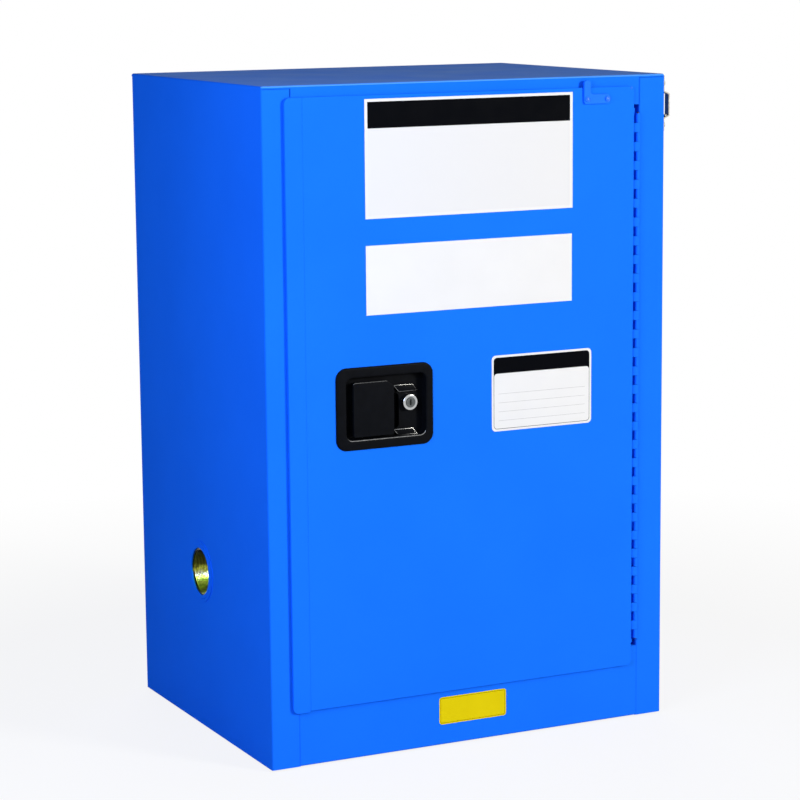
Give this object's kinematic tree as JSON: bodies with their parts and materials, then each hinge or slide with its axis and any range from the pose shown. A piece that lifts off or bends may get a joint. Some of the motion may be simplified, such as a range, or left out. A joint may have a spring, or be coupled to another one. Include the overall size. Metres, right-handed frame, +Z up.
{
  "type": "hazardous materials safety cabinet",
  "caption": "Free-standing double-wall steel safety cabinet: a hinged door with recessed paddle handle and lock, side vents, inside shelf with spill trays, levelling feet.",
  "frame": {"origin": "on the floor under the middle of the cabinet body, in the plane of the levelling feet", "axes": "+X to the viewer's right, towards the hinge; +Y from the door to the back; +Z up"},
  "size_m": [0.6034, 0.4672, 0.889],
  "materials": {
    "blue_paint": "satin powder coat with a fine texture",
    "zinc_steel": "bright zinc plate",
    "yellow_zinc": "yellow passivated zinc plate",
    "link_bronze": "bare bronze strip with a soldered lap",
    "stainless": "drawn stainless steel",
    "lock_chrome": "polished chrome plate",
    "galvanised": "galvanised sheet",
    "tray_plastic": "natural polyethylene, matt",
    "handle_black": "black moulded nylon, fine grain",
    "guide_plastic": "white acetal",
    "label_white": "white vinyl film",
    "label_yellow": "yellow vinyl film",
    "foot_steel": "dull zinc plate"
  },
  "bodies": {
    "cabinet": {"left_outer_panel": "blue_paint", "right_outer_panel": "blue_paint", "top_outer_panel": "blue_paint", "back_outer_panel": "blue_paint", "base_panel": "blue_paint", "bottom_front_rail": "blue_paint", "left_inner_wall": "blue_paint", "right_inner_wall": "blue_paint", "inner_roof": "blue_paint", "inner_back_wall": "blue_paint", "sump_pan": "blue_paint", "left_vent_flange": "blue_paint", "right_vent_flange": "blue_paint", "hinge_frame_leaf": "blue_paint", "floor_bearers": "zinc_steel", "foot_nuts": "zinc_steel", "frame_hinge_rivets": "zinc_steel", "hinge_pin": "zinc_steel", "top_strike": "zinc_steel", "bottom_strike": "zinc_steel", "side_strike": "zinc_steel", "hold_open_loop": "zinc_steel", "loop_screws": "zinc_steel", "grounding_stud": "zinc_steel", "shelf_standards": "zinc_steel", "shelf_hangers": "zinc_steel", "left_vent_bushing": "yellow_zinc", "right_vent_bushing": "yellow_zinc", "flame_arresters": "stainless", "sill_label": "label_yellow"},
    "door": {"door_outer_skin": "blue_paint", "door_edge_strip": "blue_paint", "door_inner_pan": "blue_paint", "hinge_door_leaf": "blue_paint", "door_hinge_rivets": "zinc_steel", "bolt_guides": "guide_plastic", "handle_dish": "handle_black", "handle_pin": "zinc_steel", "latch_plate": "zinc_steel", "lock_cylinder": "lock_chrome", "hold_open_bracket": "blue_paint", "bracket_screws": "zinc_steel", "door_labels": "label_white"},
    "paddle": {"handle_paddle": "handle_black", "paddle_spring": "zinc_steel"},
    "hub": {"latch_hub": "zinc_steel"},
    "upper_bolt": {"top_bolt": "stainless"},
    "lower_bolt": {"bottom_bolt": "stainless"},
    "side_bolt": {"centre_bolt": "stainless"},
    "lock": {"lock_plug": "lock_chrome", "lock_cam": "zinc_steel"},
    "link": {"link_hook": "zinc_steel", "fusible_link": "link_bronze"},
    "shelf_unit": {"shelf": "galvanised"},
    "shelf_tray_unit": {"shelf_tray": "tray_plastic"},
    "sump_tray_unit": {"sump_tray": "tray_plastic"},
    "front_left_foot_unit": {"front_left_foot": "foot_steel"},
    "back_left_foot_unit": {"back_left_foot": "foot_steel"},
    "front_right_foot_unit": {"front_right_foot": "foot_steel"},
    "back_right_foot_unit": {"back_right_foot": "foot_steel"}
  },
  "joints": [
    {"name": "door_swing", "type": "hinge", "parent": "cabinet", "child": "door", "pos_m": [0.2527, -0.2305, 0.4755], "axis": [0, 0, 1], "range_deg": [0, 130], "stiffness_Nm_per_rad": 0.42, "springref_deg": -20.05},
    {"name": "side_bolt_slide", "type": "slide", "parent": "door", "child": "side_bolt", "axis": [1, 0, 0], "range_m": [0, 0.01025], "stiffness_N_per_m": 1500, "springref_m": -0.005},
    {"name": "paddle_pull", "type": "hinge", "parent": "door", "child": "paddle", "pos_m": [-0.1688, -0.227, 0.4709], "axis": [0, 0, -1], "range_deg": [0, 30.2]},
    {"name": "hub_turn", "type": "hinge", "parent": "door", "child": "hub", "pos_m": [-0.1288, -0.2065, 0.4543], "axis": [0, 1, 0], "range_deg": [0, 35.29]},
    {"name": "upper_bolt_slide", "type": "slide", "parent": "door", "child": "upper_bolt", "axis": [0, 0, -1], "range_m": [0, 0.0103]},
    {"name": "lower_bolt_slide", "type": "slide", "parent": "door", "child": "lower_bolt", "axis": [0, 0, 1], "range_m": [0, 0.0103]},
    {"name": "lock_turn", "type": "hinge", "parent": "door", "child": "lock", "pos_m": [-0.0909, -0.2065, 0.4727], "axis": [0, -1, 0], "range_deg": [0, 90]},
    {"name": "link_swing", "type": "hinge", "parent": "cabinet", "child": "link", "pos_m": [0.2997, -0.2205, 0.83273], "axis": [0, -1, 0], "range_deg": [0, 100]},
    {"name": "shelf_lift", "type": "slide", "parent": "cabinet", "child": "shelf_unit", "axis": [0, 0, 1], "range_m": [0, 0.057]},
    {"name": "shelf_tray_lift", "type": "slide", "parent": "shelf_unit", "child": "shelf_tray_unit", "axis": [0, 0, 1], "range_m": [0, 0.06]},
    {"name": "sump_tray_lift", "type": "slide", "parent": "cabinet", "child": "sump_tray_unit", "axis": [0, 0, 1], "range_m": [0, 0.06]},
    {"name": "front_left_foot_screw", "type": "slide", "parent": "cabinet", "child": "front_left_foot_unit", "axis": [0, 0, -1], "range_m": [0, 0.015]},
    {"name": "back_left_foot_screw", "type": "slide", "parent": "cabinet", "child": "back_left_foot_unit", "axis": [0, 0, -1], "range_m": [0, 0.015]},
    {"name": "front_right_foot_screw", "type": "slide", "parent": "cabinet", "child": "front_right_foot_unit", "axis": [0, 0, -1], "range_m": [0, 0.015]},
    {"name": "back_right_foot_screw", "type": "slide", "parent": "cabinet", "child": "back_right_foot_unit", "axis": [0, 0, -1], "range_m": [0, 0.015]}
  ],
  "couplings": [
    {"joint": "paddle_pull", "follows": "side_bolt_slide", "rad_per_m": 51.083},
    {"joint": "hub_turn", "follows": "side_bolt_slide", "rad_per_m": 59.753},
    {"joint": "upper_bolt_slide", "follows": "side_bolt_slide", "ratio": 1},
    {"joint": "lower_bolt_slide", "follows": "side_bolt_slide", "ratio": 1}
  ]
}
